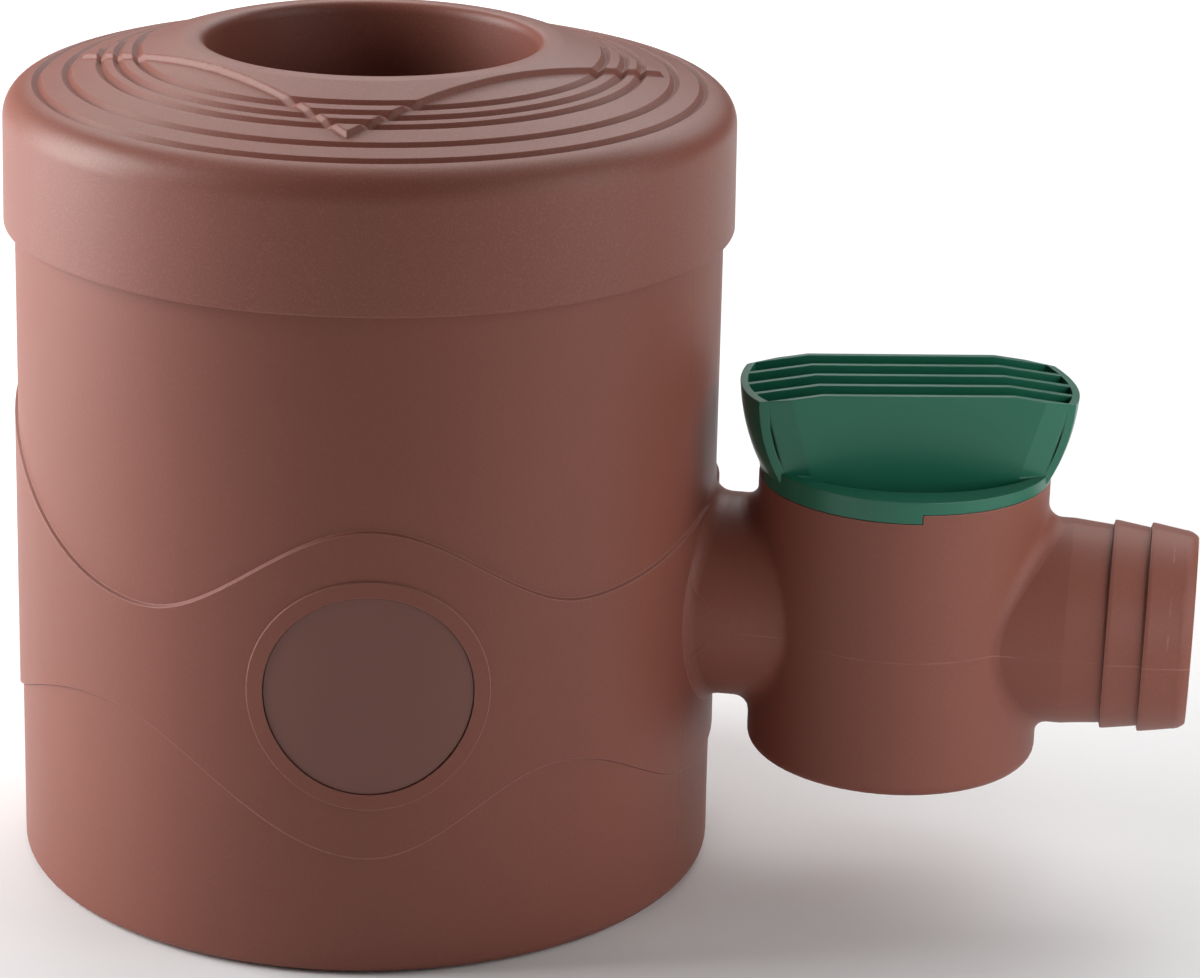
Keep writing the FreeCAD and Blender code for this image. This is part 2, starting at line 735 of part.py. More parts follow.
def make_lid():
    shell = document.addObject("PartDesign::Body", "LidShell")
    lid_profile(shell)
    ring_grooves(shell)
    star = common("Star", make_star_layer(), make_star_prism())
    lid = fuse("RaisedLid", [shell, star])
    for alias in STAR_GROOVES:
        lid = cut("Lid" + alias, lid, star_groove(alias))
    lid.Label = "lid"
    return lid


def make_standpipe():
    """The pipe through the floor: socket for the lower downpipe, stop ledge, overflow edge."""
    body = document.addObject("PartDesign::Body", "Standpipe")
    sketch = new_sketch(body, "StandpipeProfile")
    flange_top = floor_top + size("FlangeThickness")
    outline(sketch, [
        (socket_radius, 0),
        (standpipe_outer, 0),
        (standpipe_outer, floor_top),
        (size("FlangeRadius"), floor_top),
        (size("FlangeRadius"), flange_top),
        (standpipe_outer, flange_top),
        (standpipe_outer, size("StandpipeTop")),
        (pipe_stop, size("StandpipeTop")),
        (pipe_stop, size("SocketDepth")),
        (socket_radius, size("SocketDepth")),
    ])
    turned(body, "StandpipeTurn", sketch)
    body.Label = "standpipe"
    return body


def make_sleeve():
    """The slotted sieve sleeve between the inlet collar and the standpipe."""
    body = document.addObject("PartDesign::Body", "Sleeve")
    inner = standpipe_outer + size("SleeveGap")
    outer = inner + size("SleeveWall")
    ledge = size("SleeveLedge")
    seat = size("StandpipeTop")
    collar = size("CollarFoot")
    overlap = size("SleeveOverlap")
    sketch = new_sketch(body, "SleeveProfile")
    outline(sketch, [
        (inner, seat - overlap),
        (outer, seat - overlap),
        (outer, collar + overlap),
        (inner, collar + overlap),
        (inner, collar),
        (pipe_stop, collar),
        (pipe_stop, collar - ledge),
        (inner, collar - ledge),
        (inner, seat + ledge),
        (pipe_stop, seat + ledge),
        (pipe_stop, seat),
        (inner, seat),
    ])
    turned(body, "SleeveTurn", sketch)
    margin = size("SlotMargin")
    slot_sketch = new_sketch(body, "SlotProfile")
    half = size("SlotWidth") / 2
    low = seat + ledge + margin
    high = collar - ledge - margin
    outline(slot_sketch, [(-half, low), (half, low), (half, high), (-half, high)])
    slot = body.newObject("PartDesign::Pocket", "Slot")
    slot.Profile = slot_sketch
    bind(slot, "Length", outer + size("Reach"))
    pattern = body.newObject("PartDesign::PolarPattern", "Slots")
    pattern.Originals = [slot]
    pattern.Axis = (slot_sketch, ["V_Axis"])
    pattern.Angle = 360
    pattern.Occurrences = int(size("SlotCount").value)
    body.Tip = pattern
    body.Label = "filter_sleeve"
    return body


def knob_plate_and_barrel(body):
    """Rim, crown plate and hollow valve barrel of the knob, in the knob's own frame."""
    gap = size("RunningGap")
    rim_foot = chamber_rim + gap
    barrel = chamber_bore - gap
    barrel_foot = size("ChamberFoot") + size("ChamberFloor") + size("BarrelPlay")
    crown = size("KnobRimTop") - size("BarrelCrown")
    groove_half = size("SealSection") + size("SealPlay")
    groove_floor = chamber_bore - size("SealSqueeze") - size("SealSection") * 2
    sketch = new_sketch(body, "KnobProfile")
    outline(sketch, [
        (0, crown),
        (barrel - size("BarrelNeck"), crown),
        (barrel - size("BarrelNeck"), window_top + size("BarrelStep")),
        (barrel - size("BarrelWall"), window_top),
        (barrel - size("BarrelWall"), barrel_foot),
        (barrel, barrel_foot),
        (barrel, seal_height - groove_half),
        (groove_floor, seal_height - groove_half),
        (groove_floor, seal_height + groove_half),
        (barrel, seal_height + groove_half),
        (barrel, rim_foot),
        (knob_radius, rim_foot),
        (knob_radius, size("KnobRimTop")),
        (0, size("KnobRimTop")),
    ])
    return turned(body, "KnobTurned", sketch)


def recess_sketch(body, name, side):
    """The lens-shaped outline of a finger recess beside the grip."""
    sketch = new_sketch(body, name, role="XY_Plane", lift=size("KnobRimTop"))
    half = size("GripHalf")
    reach = size("RecessReach")
    outline(sketch, [
        (-reach, half * side),
        (reach, half * side, 0, reach * side),
    ])
    return sketch


def knob_recesses(body):
    for name, side in (("FrontRecess", -1), ("BackRecess", 1)):
        pocket = body.newObject("PartDesign::Pocket", name)
        pocket.Profile = recess_sketch(body, name + "Outline", side)
        bind(pocket, "Length", size("RecessDepth"))


def knob_tab(body):
    """The stop tab under the rim, which runs in the lowered part of the chamber rim."""
    sketch = new_sketch(body, "TabProfile")
    foot = chamber_rim - size("StopDrop") + size("RunningGap")
    inner = chamber_bore + size("RunningGap")
    top = (chamber_rim + size("RunningGap") + size("KnobRimTop")) / 2
    outline(sketch, [
        (inner, foot),
        (knob_radius, foot),
        (knob_radius, top),
        (inner, top),
    ])
    turn = size("StopAngle") - size("KnobAngle") - size("TabAngle") - size("StopPlayAngle")
    sketch.AttachmentOffset.Rotation = FreeCAD.Rotation(FreeCAD.Vector(0, 1, 0), turn.value)
    bind(sketch, "AttachmentOffset.Rotation.Angle", turn)
    return turned(body, "StopTab", sketch, angle=size("TabAngle"))


def make_bowl(name, inset):
    """The flared bowl that the grip is cut from, or the same bowl a wall's thickness smaller."""
    body = document.addObject("PartDesign::Body", name)
    sketch = new_sketch(body, name + "Profile")
    foot = size("GripFoot")
    top = size("GripTop")
    foot_radius = knob_radius - inset
    middle_z = foot + (top - foot) * FLARE_HEIGHT
    middle_r = foot_radius + (grip_radius - knob_radius) * FLARE_SPREAD
    outline(sketch, [
        (0, foot),
        (foot_radius, foot),
        (grip_radius - inset, top, middle_r, middle_z),
        (0, top),
    ])
    turned(body, name + "Turn", sketch)
    return body


def make_box(name, low, high):
    """A box between two corners given by sizes."""
    box = document.addObject("Part::Box", name)
    for side, start, finish in zip(("Length", "Width", "Height"), low, high):
        bind(box, side, finish - start)
    for axis, start in zip("xyz", low):
        bind(box, f"Placement.Base.{axis}", start)
    return box


def make_grip_block():
    """The upright block between the grip's front and back faces, its top falling towards both ends."""
    body = document.addObject("PartDesign::Body", "GripBlock")
    sketch = new_sketch(body, "GripSide")
    end = grip_radius + size("Reach")
    top = size("GripTop")
    level = size("GripFlat")
    steep = size("GripSlope") / (size("GripEndLength") - level)
    low = top - steep * (end - level)
    foot = size("GripFoot")
    outline(sketch, [(-end, foot), (end, foot), (end, low), (level, top), (-level, top), (-end, low)])
    pad = body.newObject("PartDesign::Pad", "GripPad")
    pad.Profile = sketch
    pad.Midplane = True
    bind(pad, "Length", size("GripHalf") * 2)
    return body


def make_facets():
    """Wedges that plane the four corners of the grip off, from a fold in its front or back face."""
    reach = size("Reach")
    tall = size("GripTop") - size("GripFoot") + reach
    wedge = make_box("FacetWedge", (-reach, -reach, -tall), (tall, as_size(0), reach))
    turn_about(wedge, FreeCAD.Vector(0, 0, 1), size("FacetAngle"))
    leaning = document.addObject("Part::Compound", "FacetLeaning")
    leaning.Links = [wedge]
    turn_about(leaning, FreeCAD.Vector(0, 1, 0), size("FacetLeanAngle"))
    bind(leaning, "Placement.Base.x", grip_radius - size("FacetInset"))
    bind(leaning, "Placement.Base.y", -size("GripHalf"))
    bind(leaning, "Placement.Base.z", size("GripTop"))
    facets = [leaning]
    for tag, source, normal in (("Left", 0, (1, 0, 0)), ("Back", 0, (0, 1, 0)), ("BackLeft", 1, (0, 1, 0))):
        mirror = document.addObject("Part::Mirroring", "Facet" + tag)
        mirror.Source = facets[source]
        mirror.Normal = FreeCAD.Vector(*normal)
        facets.append(mirror)
    return fuse("Facets", facets)


def make_grip():
    """The finned grip: a slice of the bowl with slots between its fins and facets at its corners."""
    solid = common("GripSolid", make_bowl("Bowl", as_size(0)), make_grip_block())
    faceted = cut("GripFaceted", solid, make_facets())
    pitch = (size("GripHalf") * 2 - size("FinThickness")) / (FINS - 1)
    reach = grip_radius + size("Reach")
    slots = []
    for number in range(FINS - 1):
        start = pitch * number - size("GripHalf") + size("FinThickness")
        end = start + pitch - size("FinThickness")
        slots.append(make_box(f"SlotBox{number}", (-reach, start, size("SlotFloor")),
                              (reach, end, size("GripTop") + size("Reach"))))
    hollow = common("GripHollow", make_bowl("InnerBowl", size("EndWall")), fuse("SlotBoxes", slots))
    return cut("Grip", faceted, hollow)


def make_knob():
    plate = document.addObject("PartDesign::Body", "KnobPlate")
    knob_plate_and_barrel(plate)
    knob_recesses(plate)
    knob_tab(plate)
    whole = fuse("KnobSolid", [plate, make_grip()])
    window = document.addObject("Part::Cylinder", "Window")
    bind(window, "Radius", size("WindowRadius"))
    bind(window, "Height", (chamber_bore + size("Reach")) * 2)
    bind(window, "Placement.Base.x", chamber_offset - chamber_bore - size("Reach"))
    window.Placement.Rotation = FreeCAD.Rotation(FreeCAD.Vector(0, 1, 0), 90)
    bind(window, "Placement.Base.z", branch_height)
    turn_about(whole, FreeCAD.Vector(0, 0, 1), size("KnobAngle"))
    bind(whole, "Placement.Base.x", chamber_offset)
    knob = cut("Knob", whole, window)
    knob.Label = "shutoff_knob"
    return knob


def make_seal_ring():
    ring = document.addObject("Part::Torus", "SealRing")
    bind(ring, "Radius1", chamber_bore - size("SealSqueeze") - size("SealSection"))
    bind(ring, "Radius2", size("SealSection"))
    bind(ring, "Placement.Base.x", chamber_offset)
    bind(ring, "Placement.Base.z", seal_height)
    ring.Label = "knob_seal_ring"
    return ring


subparts = [make_body(), make_standpipe(), make_front_disc(), make_lid(), make_sleeve(), make_knob(),
            make_seal_ring()]
document.recompute()

failed = [item for item in document.Objects if "Invalid" in item.State or "Error" in item.State]
for item in failed:
    print(item.Name, item.State, item.getStatusString())
if failed:
    raise RuntimeError(f"{len(failed)} objects did not build")
for subpart in subparts:
    if subpart.Shape.isNull() or not subpart.Shape.isValid():
        raise RuntimeError(f"{subpart.Label} has no valid shape")
for subpart in subparts:
    subpart.Shape.exportStep(f"parts/{subpart.Label}.step")
    box = subpart.Shape.BoundBox
    print(f"{subpart.Label}: {len(subpart.Shape.Solids)} solid(s), {subpart.Shape.Volume / 1000:.1f} cm3")
    print(f"x {box.XMin:.1f}..{box.XMax:.1f}, y {box.YMin:.1f}..{box.YMax:.1f}")
    print(f"z {box.ZMin:.1f}..{box.ZMax:.1f}")
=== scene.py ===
"""Looks of the rainwater diverter: materials on the parts, a finer lid, floor, lights, camera.

Lengths are in metres, apart from names with MM and the sizes of the lid, in millimetres.
"""

import math

import bmesh
import bpy
from mathutils import Matrix, Vector


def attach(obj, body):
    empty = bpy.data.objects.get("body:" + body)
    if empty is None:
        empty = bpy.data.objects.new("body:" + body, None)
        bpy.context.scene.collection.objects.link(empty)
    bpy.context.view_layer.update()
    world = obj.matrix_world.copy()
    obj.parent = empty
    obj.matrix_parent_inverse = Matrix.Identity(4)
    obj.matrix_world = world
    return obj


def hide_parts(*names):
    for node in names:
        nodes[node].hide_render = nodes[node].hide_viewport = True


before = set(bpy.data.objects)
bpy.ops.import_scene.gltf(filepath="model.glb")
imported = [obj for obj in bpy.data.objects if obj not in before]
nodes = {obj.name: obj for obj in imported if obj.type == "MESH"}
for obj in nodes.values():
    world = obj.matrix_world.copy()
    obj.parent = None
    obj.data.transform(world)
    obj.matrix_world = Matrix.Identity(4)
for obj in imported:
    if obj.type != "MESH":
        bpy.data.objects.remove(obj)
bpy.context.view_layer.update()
MM = 0.001

# Camera: the photograph's viewpoint
CAMERA_PLACE = Vector((0.24064, -1.07484, 0.50206))
LOOK_TURN = math.radians(98.8365)
LOOK_DOWN = math.radians(19.3133)
CAMERA_ROLL = math.radians(1.5915)
LENS_MM = 110.67
SENSOR_MM = 36

# Soft boxes: name, place, target, width and height, watts, spread in degrees
SOFT_BOXES = (
    ("left_box", (-1.2, -0.1, 0.56), (0, 0, 0.12), (0.9, 1.05), 27.5, 180),
    ("right_box", (0.65, -0.13, 0.37), (0.18, 0, 0.1), (0.35, 0.55), 1.55, 180),
    ("outlet_box", (0.5, -0.42, 0.25), (0.23, 0, 0.09), (0.2, 0.3), 0.1, 50),
    ("top_box", (0.05, 0.45, 1.3), (0.05, 0, 0.1), (1.4, 0.9), 4.5, 180),
    ("back_box", (0.1, 1.3, 1.1), (0.1, 0.75, 0), (2.2, 0.9), 18, 180),
)
WORLD_STRENGTH = 0.01
WHITE = (1, 1, 1, 1)

# Floor: a pale sheet just under the object, which glows further out, where no soft box reaches
FLOOR_HALF = 4.0
FLOOR_UNDER_MM = 0.5
FLOOR_ROUGHNESS = 0.9
FLOOR_SPECULAR = 0.1
GLOW_FROM = 0.8
GLOW_FULL_FROM = 1.6
GLOW_STRENGTH = 0.7

# Colours, linear
TERRACOTTA = (0.232, 0.076, 0.053)
DISC_BROWN = (0.18, 0.058, 0.04)
GREEN = (0.012, 0.135, 0.08)
DARK_PLASTIC = (0.02, 0.02, 0.022)
RUBBER = (0.012, 0.012, 0.012)
PAPER = (0.9, 0.9, 0.9)

# Plastic: a tone is a gain and a lift of the colour, a span the noise's values where a mask rises
CLOUD_SCALE = 14
CLOUD_DETAIL = 3
CLOUD_TINT = 0.03
CLOUD_TINT_SPAN = (0.35, 0.65)
CLOUD_GLOSS = 0.04
CLOUD_GLOSS_SPAN = (0.3, 0.7)
GRAIN_DETAIL = 2
FLECK_SPAN = (0.5, 0.7)
FLECK_TONE = (1.35, 0.04)
# Painted highlights along edges: a lighter tone where a narrow bevel turns the normal; the same
# tone also lightens the seams and the scuffs
WEAR_AND_HIGHLIGHT_TONE = (1.5, 0.12)
HIGHLIGHT_EDGE_MM = 0.28
HIGHLIGHT_COSINES = (0.93, 0.998)
BEVEL_SAMPLES = 6

# Mould seams: level on chamber and outlet, upright on the housing; scuffs round the hose tail's rim
SEAM_HEIGHT = 0.0887
SEAM_HALF = 0.00035
SEAM_FADE = (0.122, 0.126)
SEAM_DEPTH_MM = 0.1
SEAM_LIGHT = 0.35
SEAM_PATCH_SCALE = 60
SEAM_PATCH_DETAIL = 2
SEAM_PATCH_SPAN = (0.4, 0.6)
SEAM_LEAST = 0.15
UPRIGHT_TURN = math.radians(-15.5)
UPRIGHT_HALF = math.radians(0.16)
UPRIGHT_FADE = (0.112, 0.1135)
UPRIGHT_DEPTH_MM = 0.12
SCUFF_AT = 0.2518
SCUFF_HALF = 0.0003
SCUFF_LIGHT = 0.45
SCUFF_SCALE = 160
SCUFF_DETAIL = 3
SCUFF_SPAN = (0.5, 0.62)

# The lid, with the part's sizes, apart from the star's height, which catches the light better
BORE = 50.5
COLLAR_FOOT = 224.0
COLLAR_MIDDLE = 240.0
COLLAR_OUTER = 53.5
LIP_OUTER = 57.5
LIP_PROFILE = ((50.5, 256.4), (50.6, 257.4), (50.85, 258.3), (51.3, 259.15), (52.0, 259.72),
               (52.9, 259.97), (53.9, 260.0), (55.2, 259.9))
CONE_SLOPE = math.tan(math.radians(14.6))
CONE_REFERENCE = 100.0
CONE_HEIGHT = 247.2
SHOULDER = 10.0
SHOULDER_FROM = 75.4
SKIRT_TOP_RADIUS = 111.413
SKIRT_MIDDLE = 220.0
SKIRT_FOOT_RADIUS = 111.913
SKIRT_FOOT = 204.6
SKIRT_INNER = 108.913
SKIRT_EDGE = 0.35
EDGE_CUT = 0.3
SEAT_HEIGHT = 236.0
SEAT_RADIUS = 105.4
UNDER = 2.687
GROOVES = (100.992, 91.994, 81.793, 76.596, 70.897)
GROOVE_DEPTH = 1.4
GROOVE_HALF = 1.6
STAR_SIDES = 4
STAR_WAIST = 60.6
STAR_TIP = 88.694
STAR_RELIEF = 1.6
STAR_TURN = math.radians(8.0)
RISER = 1.1
RISER_OUTSIDE = 0.15

# The lid's mesh
LID_TURNS = 600
SLOPE_RINGS = 58
SHOULDER_RINGS = 14
STAR_CUTS = 2
CUT_OUTSIDE = 1
CUT_INSIDE = RISER + 0.8
CUT_BEYOND_TIP = 3
SHARP_FROM = math.radians(32)


def add_object(name, data):
    made = bpy.data.objects.new(name, data)
    bpy.context.scene.collection.objects.link(made)
    return made


def make_camera():
    flat = math.cos(LOOK_DOWN)
    ahead = Vector((math.cos(LOOK_TURN) * flat, math.sin(LOOK_TURN) * flat, -math.sin(LOOK_DOWN)))
    right = Vector((math.sin(LOOK_TURN), -math.cos(LOOK_TURN), 0))
    up = right.cross(ahead)
    rolled_right = right * math.cos(CAMERA_ROLL) + up * math.sin(CAMERA_ROLL)
    rolled_up = up * math.cos(CAMERA_ROLL) - right * math.sin(CAMERA_ROLL)
    data = bpy.data.cameras.new("camera")
    data.lens = LENS_MM
    data.sensor_width = SENSOR_MM
    camera = add_object("camera", data)
    turn = Matrix((rolled_right, rolled_up, -ahead)).transposed().to_4x4()
    camera.matrix_world = Matrix.Translation(CAMERA_PLACE) @ turn
    bpy.context.scene.camera = camera


def make_lights():
    """Soft boxes at both sides, above, behind over the floor, and a small one at the outlet."""
    bpy.context.scene.view_settings.view_transform = "Standard"
    world = bpy.data.worlds.new("studio")
    bpy.context.scene.world = world
    world.use_nodes = True
    background = world.node_tree.nodes["Background"]
    background.inputs["Color"].default_value = WHITE
    background.inputs["Strength"].default_value = WORLD_STRENGTH
    for name, place, target, size, power, spread in SOFT_BOXES:
        data = bpy.data.lights.new(name, "AREA")
        data.shape = "RECTANGLE"
        data.size, data.size_y = size
        data.energy = power
        data.spread = math.radians(spread)
        light = add_object(name, data)
        light.location = place
        light.rotation_mode = "QUATERNION"
        light.rotation_quaternion = (Vector(target) - Vector(place)).to_track_quat("-Z", "Y")


def make_floor():
    corners = [(x * FLOOR_HALF, y * FLOOR_HALF, 0) for x, y in ((-1, -1), (1, -1), (1, 1), (-1, 1))]
    mesh = bpy.data.meshes.new("floor")
    mesh.from_pydata(corners, [], [(0, 1, 2, 3)])
    floor = add_object("floor", mesh)
    floor.location.z = -FLOOR_UNDER_MM * MM
    paper = bpy.data.materials.new("paper")
    paper.use_nodes = True
    tree = paper.node_tree
    shader = tree.nodes["Principled BSDF"]
    for name, value in (("Base Color", PAPER + (1,)), ("Roughness", FLOOR_ROUGHNESS),
                        ("Specular IOR Level", FLOOR_SPECULAR), ("Emission Color", WHITE)):
        shader.inputs[name].default_value = value
    coordinates = tree.nodes.new("ShaderNodeTexCoord")
    distance = tree.nodes.new("ShaderNodeVectorMath")
    distance.operation = "LENGTH"
    tree.links.new(coordinates.outputs["Object"], distance.inputs[0])
    glow = tree.nodes.new("ShaderNodeMapRange")
    glow.interpolation_type = "SMOOTHSTEP"
    for name, value in (("From Min", GLOW_FROM), ("From Max", GLOW_FULL_FROM),
                        ("To Min", 0), ("To Max", GLOW_STRENGTH)):
        glow.inputs[name].default_value = value
    tree.links.new(distance.outputs["Value"], glow.inputs["Value"])
    tree.links.new(glow.outputs["Result"], shader.inputs["Emission Strength"])
    mesh.materials.append(paper)


class Plastic:
    """Moulded plastic: grain, faint clouds in the colour, uneven gloss, and soft edges with painted
    highlights along them.
    """

    def __init__(self, name, colour, roughness, grain_mm, grain_depth_mm, specular=0.5,
                 flecks=0.0, edge_mm=0.3, painted_edge_highlight=0.0):
        self.material = bpy.data.materials.new(name)
        self.material.use_nodes = True
        self.tree = self.material.node_tree
        self.shader = self.tree.nodes["Principled BSDF"]
        self.shader.inputs["Specular IOR Level"].default_value = specular
        self.place = self.node("TexCoord").outputs["Object"]
        self.colour = colour
        clouds = self.noise(CLOUD_SCALE, CLOUD_DETAIL)
        mix = self.node("Mix", data_type="RGBA")
        mix.inputs["A"].default_value = self.tone(1 - CLOUD_TINT)
        mix.inputs["B"].default_value = self.tone(1 + CLOUD_TINT)
        self.link(self.ramp(clouds, CLOUD_TINT_SPAN, (0, 1)), mix.inputs["Factor"])
        self.set_shade(mix.outputs["Result"])
        grain = self.noise(1 / (grain_mm * MM), GRAIN_DETAIL)
        if flecks:
            self.lighten(self.ramp(grain, FLECK_SPAN, (0, flecks)), FLECK_TONE)
        # Painted highlights: a lighter tone mixed in along the edges
        if painted_edge_highlight:
            self.lighten(self.edge_highlight_mask(painted_edge_highlight), WEAR_AND_HIGHLIGHT_TONE)
        gloss = (roughness - CLOUD_GLOSS, roughness + CLOUD_GLOSS)
        self.link(self.ramp(clouds, CLOUD_GLOSS_SPAN, gloss), self.shader.inputs["Roughness"])
        self.normal = self.bevel(edge_mm)
        self.bump(grain, grain_depth_mm)

    def node(self, kind, **settings):
        made = self.tree.nodes.new("ShaderNode" + kind)
        for name, value in settings.items():
            setattr(made, name, value)
        return made

    def link(self, source, target):
        self.tree.links.new(source, target)

    def tone(self, gain, lift=0.0):
        """The plastic's colour, made brighter or darker."""
        return tuple(min(1, part * gain + lift) for part in self.colour) + (1,)

    def set_shade(self, colour):
        self.shade = colour
        self.link(colour, self.shader.inputs["Base Color"])

    def lighten(self, mask, tone):
        """Mixes another tone of the colour, given as gain and lift, into the shade by the mask."""
        mix = self.node("Mix", data_type="RGBA")
        self.link(mask, mix.inputs["Factor"])
        self.link(self.shade, mix.inputs["A"])
        mix.inputs["B"].default_value = self.tone(*tone)
        self.set_shade(mix.outputs["Result"])

    def bevel(self, radius_mm):
        """The surface's normal with its edges rounded."""
        rounded = self.node("Bevel", samples=BEVEL_SAMPLES)
        rounded.inputs["Radius"].default_value = radius_mm * MM
        return rounded.outputs["Normal"]

    def edge_highlight_mask(self, most):
        """Mask for painted edge highlights: the given share along edges, where a narrow bevel turns
        the normal, and 0 elsewhere.
        """
        turned = self.node("VectorMath", operation="DOT_PRODUCT")
        self.link(self.bevel(HIGHLIGHT_EDGE_MM), turned.inputs[0])
        self.link(self.node("NewGeometry").outputs["Normal"], turned.inputs[1])
        return self.ramp(turned.outputs["Value"], HIGHLIGHT_COSINES, (most, 0))

    def noise(self, scale, detail):
        made = self.node("TexNoise")
        made.inputs["Scale"].default_value = scale
        made.inputs["Detail"].default_value = detail
        self.link(self.place, made.inputs["Vector"])
        return made.outputs["Fac"]

    def ramp(self, source, span, results):
        """Goes from the first result to the second while the source crosses the span."""
        made = self.node("MapRange")
        for name, value in zip(("From Min", "From Max", "To Min", "To Max"), span + results):
            made.inputs[name].default_value = value
        self.link(source, made.inputs["Value"])
        return made.outputs["Result"]

    def maths(self, operation, *terms):
        made = self.node("Math", operation=operation)
        for term, socket in zip(terms, made.inputs):
            if isinstance(term, (int, float)):
                socket.default_value = term
            else:
                self.link(term, socket)
        return made.outputs["Value"]

    def bump(self, height, depth_mm):
        """Adds a height to the surface, on top of what is there."""
        made = self.node("Bump")
        made.inputs["Strength"].default_value = 1.0
        made.inputs["Distance"].default_value = depth_mm * MM
        self.link(height, made.inputs["Height"])
        self.link(self.normal, made.inputs["Normal"])
        self.normal = made.outputs["Normal"]
        self.link(self.normal, self.shader.inputs["Normal"])

    def axis(self, name):
        split = self.node("SeparateXYZ")
        self.link(self.place, split.inputs["Vector"])
        return split.outputs[name]

    def line_at(self, source, value, half_width):
        """1 where the source has the value, falling to 0 at half_width on both sides of it."""
        away = self.maths("ABSOLUTE", self.maths("SUBTRACT", source, value))
        return self.ramp(away, (0, half_width), (1, 0))


def add_seams(plastic):
    """The lines that the mould's halves leave on the body, and scuffs round the hose tail's rim."""
    x, y, z = plastic.axis("X"), plastic.axis("Y"), plastic.axis("Z")
    patches = plastic.noise(SEAM_PATCH_SCALE, SEAM_PATCH_DETAIL)
    patchy = plastic.ramp(patches, SEAM_PATCH_SPAN, (SEAM_LEAST, 1))
    beyond_housing = plastic.ramp(x, SEAM_FADE, (0, 1))
    level = plastic.line_at(z, SEAM_HEIGHT, SEAM_HALF)
    seam = plastic.maths("MULTIPLY", plastic.maths("MULTIPLY", level, beyond_housing), patchy)
    plastic.bump(seam, SEAM_DEPTH_MM)
    plastic.lighten(plastic.maths("MULTIPLY", seam, SEAM_LIGHT), WEAR_AND_HIGHLIGHT_TONE)
    on_housing = plastic.ramp(x, UPRIGHT_FADE, (1, 0))
    upright = plastic.line_at(plastic.maths("ARCTAN2", y, x), UPRIGHT_TURN, UPRIGHT_HALF)
    plastic.bump(plastic.maths("MULTIPLY", upright, on_housing), UPRIGHT_DEPTH_MM)
    scuffs = plastic.ramp(plastic.noise(SCUFF_SCALE, SCUFF_DETAIL), SCUFF_SPAN, (0, SCUFF_LIGHT))
    rim = plastic.line_at(x, SCUFF_AT, SCUFF_HALF)
    plastic.lighten(plastic.maths("MULTIPLY", rim, scuffs), WEAR_AND_HIGHLIGHT_TONE)


def cone(radius):
    """Height of the lid's slope without grooves and star."""
    return CONE_HEIGHT + (CONE_REFERENCE - radius) * CONE_SLOPE


def inside_star(radius, angle):
    """How far a point lies inside the star's hollow sides, in millimetres."""
    half_tip = STAR_TIP * math.sqrt(0.5)
    bend = (half_tip - STAR_WAIST) / half_tip ** 2
    least = math.inf
    for side in range(STAR_SIDES):
        turn = angle - STAR_TURN - 2 * math.pi * (side + 0.5) / STAR_SIDES
        out, along = radius * math.cos(turn), radius * math.sin(turn)
        least = min(least, STAR_WAIST + bend * along ** 2 - out)
    return least


def slope_height(radius, angle):
    """Height of the lid's slope with its grooves and the raised star."""
    share = min(1.0, max(0.0, inside_star(radius, angle) / RISER + RISER_OUTSIDE))
    groove = max(max(0.0, 1 - abs(radius - centre) / GROOVE_HALF) for centre in GROOVES)
    return cone(radius) + STAR_RELIEF * share - GROOVE_DEPTH * groove


def slope_radii():
    """Ring radii on the slope: even steps, with the grooves' edges and floors hit exactly."""
    start = LIP_OUTER
    end = SKIRT_TOP_RADIUS - SHOULDER + SHOULDER * math.cos(math.radians(SHOULDER_FROM))
    exact = [centre + shift for centre in GROOVES for shift in (-GROOVE_HALF, 0, GROOVE_HALF)]
    step = (end - start) / SLOPE_RINGS
    radii = set()
    for number in range(SLOPE_RINGS + 1):
        radius = start + step * number
        near = min(exact, key=lambda edge: abs(edge - radius))
        radii.add(near if abs(near - radius) < step / 2 else radius)
    return sorted(radii)


def lid_rings():
    """Rings from the collar's foot over lip, slope, shoulder and skirt, and back underneath.

    Each is a radius and a height, or None for the height on the slope.
    """
    rings = [(BORE, COLLAR_FOOT), (BORE, COLLAR_MIDDLE), *LIP_PROFILE]
    rings += [(radius, None) for radius in slope_radii()]
    centre_r = SKIRT_TOP_RADIUS - SHOULDER
    centre_z = cone(centre_r) - SHOULDER / math.cos(math.atan(CONE_SLOPE))
    for number in range(1, SHOULDER_RINGS + 1):
        turn = math.radians(SHOULDER_FROM * (1 - number / SHOULDER_RINGS))
        rings.append((centre_r + SHOULDER * math.cos(turn), centre_z + SHOULDER * math.sin(turn)))
    rings += [
        ((SKIRT_TOP_RADIUS + SKIRT_FOOT_RADIUS) / 2, SKIRT_MIDDLE),
        (SKIRT_FOOT_RADIUS, SKIRT_FOOT + SKIRT_EDGE * 2),
        (SKIRT_FOOT_RADIUS, SKIRT_FOOT + SKIRT_EDGE),
        (SKIRT_FOOT_RADIUS - SKIRT_EDGE * EDGE_CUT, SKIRT_FOOT + SKIRT_EDGE * EDGE_CUT),
        (SKIRT_FOOT_RADIUS - SKIRT_EDGE, SKIRT_FOOT),
        (SKIRT_INNER, SKIRT_FOOT),
        (SKIRT_INNER, SEAT_HEIGHT),
        (SEAT_RADIUS, SEAT_HEIGHT),
        (SEAT_RADIUS, cone(SEAT_RADIUS) - UNDER),
        (COLLAR_OUTER, cone(COLLAR_OUTER) - UNDER),
        (COLLAR_OUTER, COLLAR_FOOT),
    ]
    return rings


def polar(point):
    """A point's radius in millimetres and its angle."""
    return math.hypot(point.x, point.y) / MM, math.atan2(point.y, point.x)


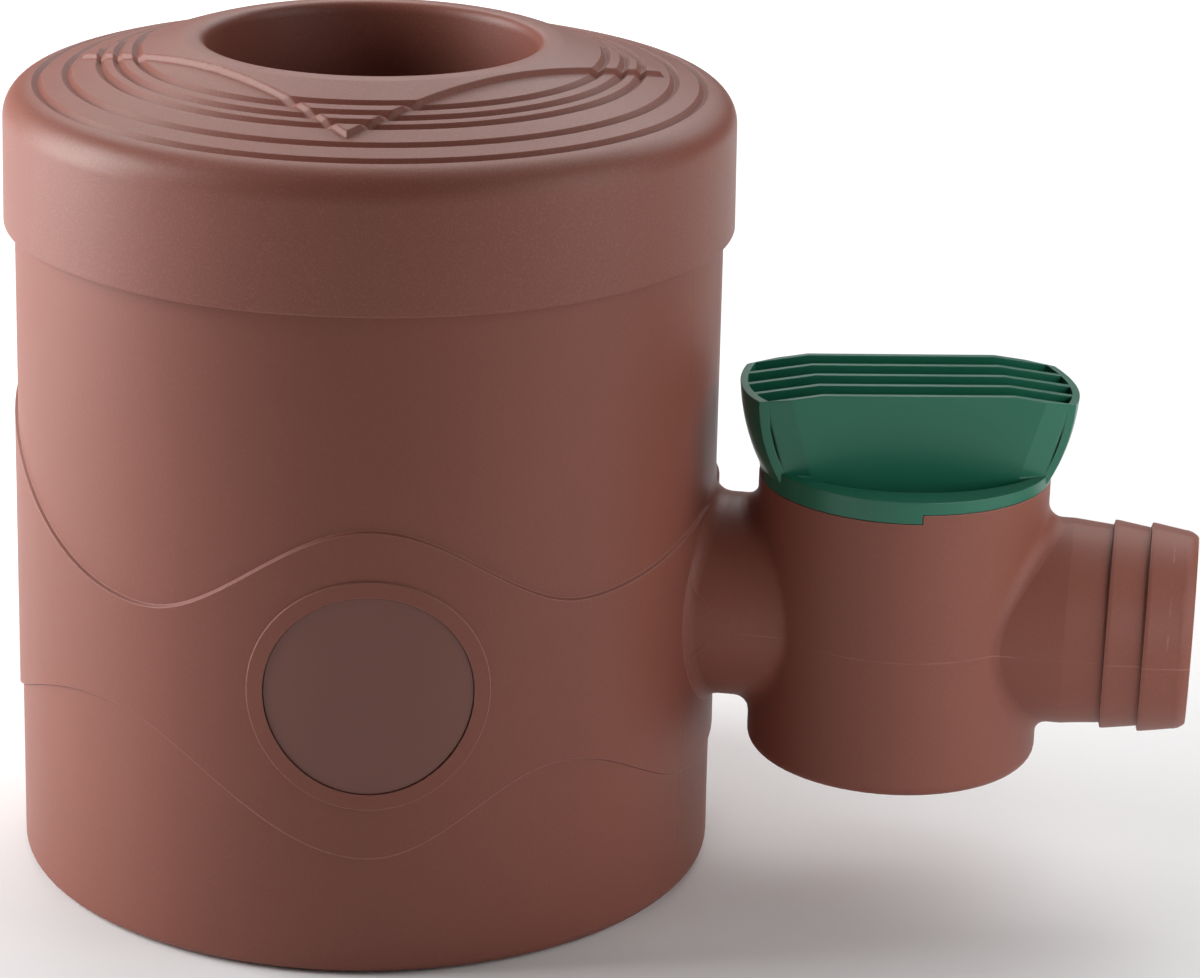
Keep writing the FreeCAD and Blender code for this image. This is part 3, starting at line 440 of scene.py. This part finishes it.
def refine_star(mesh):
    """Cuts the faces along the star's edges finer and sets the new points on the slope."""
    work = bmesh.new()
    work.from_mesh(mesh)

    def on_slope(vertex):
        radius = polar(vertex.co)[0]
        upper_side = vertex.co.z / MM > cone(radius) - (UNDER + GROOVE_DEPTH) / 2
        return upper_side and LIP_OUTER < radius < STAR_TIP + CUT_BEYOND_TIP

    def beside_star(vertex):
        return -CUT_OUTSIDE < inside_star(*polar(vertex.co)) < CUT_INSIDE and on_slope(vertex)

    beside = [vertex for vertex in work.verts if beside_star(vertex)]
    faces = {face for vertex in beside for face in vertex.link_faces}
    edges = [edge for edge in work.edges if not faces.isdisjoint(edge.link_faces)]
    bmesh.ops.subdivide_edges(work, edges=edges, cuts=STAR_CUTS, use_grid_fill=True)
    for vertex in work.verts:
        if on_slope(vertex):
            vertex.co.z = slope_height(*polar(vertex.co)) * MM
    work.to_mesh(mesh)
    work.free()


def make_lid(plastic):
    """The lid with finer grooves, sloped star edges and rounded rims."""
    rings = lid_rings()
    vertices = []
    for radius, height in rings:
        for step in range(LID_TURNS):
            angle = 2 * math.pi * step / LID_TURNS
            z = slope_height(radius, angle) if height is None else height
            vertices.append((radius * math.cos(angle) * MM, radius * math.sin(angle) * MM, z * MM))
    faces = []
    for ring in range(len(rings)):
        low, high = ring * LID_TURNS, (ring + 1) % len(rings) * LID_TURNS
        for step in range(LID_TURNS):
            after = (step + 1) % LID_TURNS
            faces.append((low + step, low + after, high + after, high + step))
    mesh = bpy.data.meshes.new("lid_fine")
    mesh.from_pydata(vertices, [], faces)
    mesh.flip_normals()
    refine_star(mesh)
    mesh.materials.append(plastic.material)
    mesh.set_sharp_from_angle(angle=SHARP_FROM)
    mesh.polygons.foreach_set("use_smooth", [True] * len(mesh.polygons))
    lid = add_object("lid_fine", mesh)
    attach(lid, "housing")
    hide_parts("lid")


make_camera()
make_lights()
make_floor()

# Housing, lid and knob get painted highlights, lighter tones along their edges
housing_plastic = Plastic("housing_plastic", TERRACOTTA, roughness=0.5, grain_mm=0.7,
                          grain_depth_mm=0.02, specular=0.32, flecks=0.12, edge_mm=0.45,
                          painted_edge_highlight=1.0)
add_seams(housing_plastic)
lid_plastic = Plastic("lid_plastic", TERRACOTTA, roughness=0.46, grain_mm=0.65,
                      grain_depth_mm=0.05, specular=0.38, flecks=0.3, painted_edge_highlight=0.5)
disc_plastic = Plastic("disc_plastic", DISC_BROWN, roughness=0.16, grain_mm=3.0,
                       grain_depth_mm=0.004)
sleeve_plastic = Plastic("sleeve_plastic", DARK_PLASTIC, roughness=0.45, grain_mm=0.8,
                         grain_depth_mm=0.01)
knob_plastic = Plastic("knob_plastic", GREEN, roughness=0.32, grain_mm=1.2,
                       grain_depth_mm=0.008, edge_mm=0.5, painted_edge_highlight=0.25)
seal_rubber = Plastic("seal_rubber", RUBBER, roughness=0.6, grain_mm=0.5, grain_depth_mm=0.01)

for node_name, plastic in (
        ("body", housing_plastic), ("standpipe", housing_plastic), ("front_disc", disc_plastic),
        ("filter_sleeve", sleeve_plastic), ("shutoff_knob", knob_plastic),
        ("knob_seal_ring", seal_rubber)):
    materials = nodes[node_name].data.materials
    materials.clear()
    materials.append(plastic.material)
make_lid(lid_plastic)
